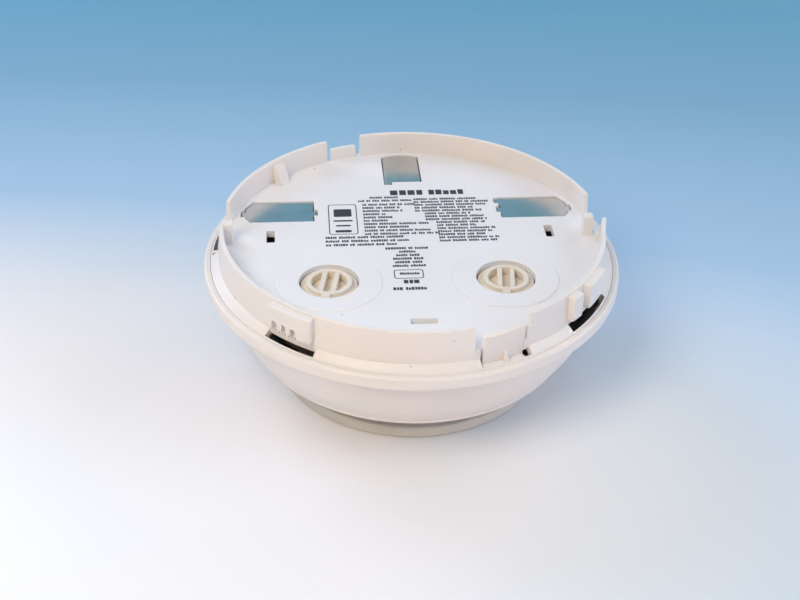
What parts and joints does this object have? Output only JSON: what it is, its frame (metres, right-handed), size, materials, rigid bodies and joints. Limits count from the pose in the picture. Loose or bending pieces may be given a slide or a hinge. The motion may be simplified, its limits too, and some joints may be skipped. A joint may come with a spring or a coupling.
{
  "type": "smoke and heat detector head",
  "caption": "Plug-in smoke and heat detector head lying on its nose, with a mounting skirt, twist-lock lugs, terminal pads and address dials on its back.",
  "frame": {"origin": "centre of the flat nose, on the surface that the head lies on", "axes": "+Z out of the mounting side, +Y towards the single rear terminal, +X to the right of it seen from the mounting side"},
  "size_m": [0.104, 0.104, 0.0413],
  "materials": {
    "white_plastic": "satin moulded",
    "cream_plastic": "satin moulded",
    "black_plastic": "matt",
    "grey_plastic": "matt",
    "contact_metal": "tin plated",
    "screw_steel": "zinc plated",
    "capacitor_can": "drawn",
    "board_laminate": "solder mask",
    "ceramic_chips": "fired ceramic",
    "clear_light": "clear moulded",
    "tinted_lens": "tinted epoxy",
    "screen_mesh": "woven"
  },
  "bodies": {
    "head": {"rear_housing": "white_plastic", "front_cover": "white_plastic", "terminal_left": "contact_metal", "terminal_right": "contact_metal", "terminal_rear": "contact_metal", "address_switch_left": "grey_plastic", "address_switch_right": "grey_plastic", "circuit_board": "board_laminate", "board_screws": "screw_steel", "microcontroller": "black_plastic", "signal_chip": "black_plastic", "line_capacitors": "capacitor_can", "surface_parts": "ceramic_chips", "reed_switch": "clear_light", "status_led_left": "tinted_lens", "status_led_right": "tinted_lens", "light_pipe_left": "clear_light", "light_pipe_right": "clear_light", "thermistor_left": "tinted_lens", "thermistor_right": "tinted_lens", "chamber_base": "black_plastic", "chamber_cap": "black_plastic", "insect_screen": "screen_mesh", "infrared_emitter": "tinted_lens", "light_receiver": "tinted_lens"},
    "tens_dial": {"address_dial_left": "cream_plastic"},
    "ones_dial": {"address_dial_right": "cream_plastic"}
  },
  "joints": [
    {"name": "tens_turn", "type": "hinge", "parent": "head", "child": "tens_dial", "pos_m": [-0.0213, -0.0174, 0.0353], "axis": [0, 0, 1], "continuous": true},
    {"name": "ones_turn", "type": "hinge", "parent": "head", "child": "ones_dial", "pos_m": [0.0213, -0.0174, 0.0353], "axis": [0, 0, 1], "continuous": true}
  ]
}
